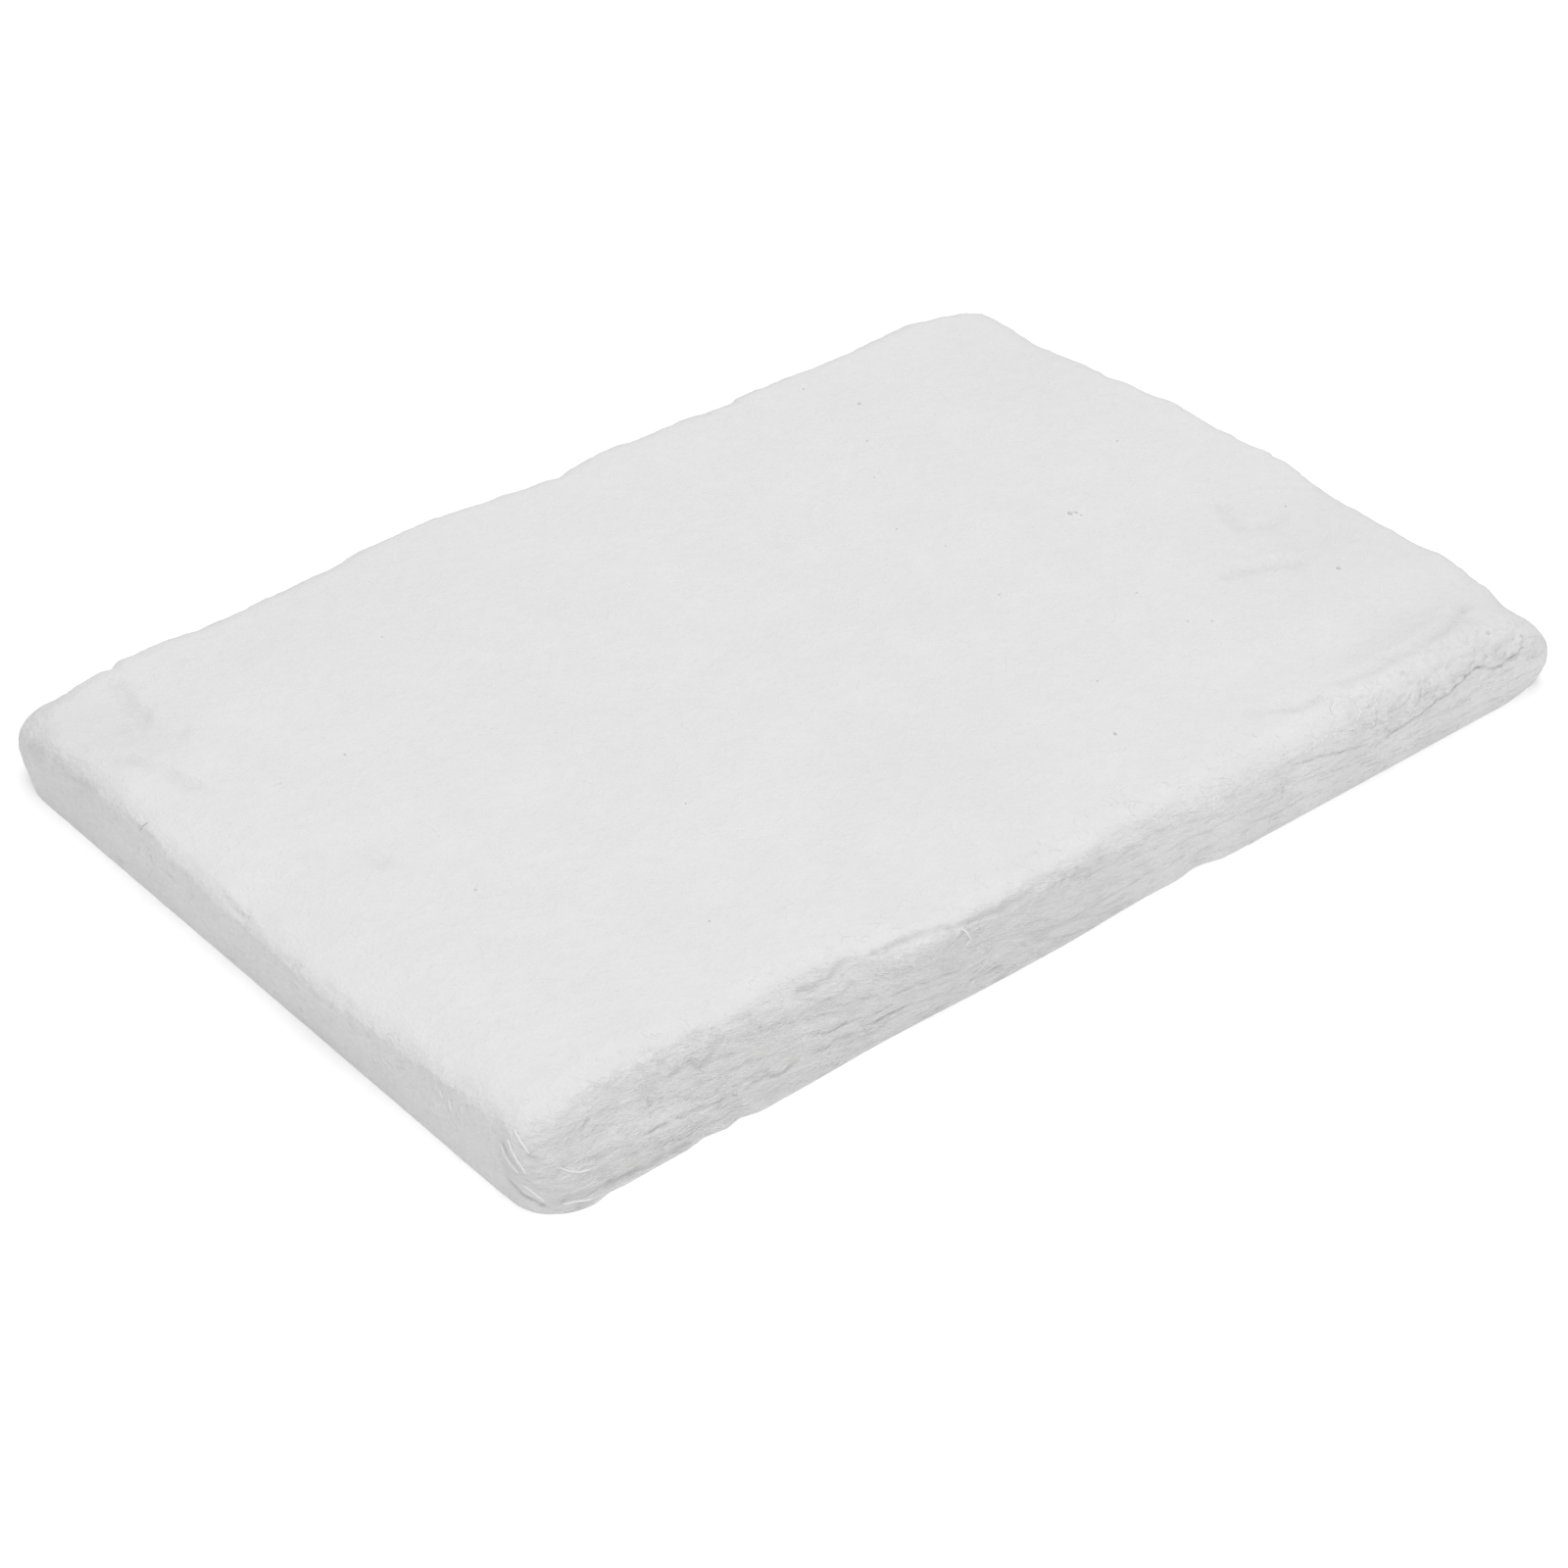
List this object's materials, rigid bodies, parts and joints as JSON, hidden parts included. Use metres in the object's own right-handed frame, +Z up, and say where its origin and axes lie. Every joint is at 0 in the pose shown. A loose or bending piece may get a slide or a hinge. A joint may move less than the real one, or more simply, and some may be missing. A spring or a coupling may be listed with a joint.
{
  "type": "ceramic fibre blanket slab",
  "caption": "Thick soft slab cut from needled ceramic fibre blanket, flat underneath, with rounded wavy rims and one torn, layered long side.",
  "frame": {"origin": "middle of the flat underside", "axes": "+X along the two long sides, +Y across from the torn long side to the cut long side, +Z up through the thickness"},
  "size_m": [0.3026, 0.2061, 0.0209],
  "materials": {
    "ceramic_fibre": "matt white needled ceramic wool, faintly fuzzy, with a few fine grey specks"
  },
  "bodies": {
    "root": {"fibre_slab": "ceramic_fibre"}
  },
  "joints": []
}
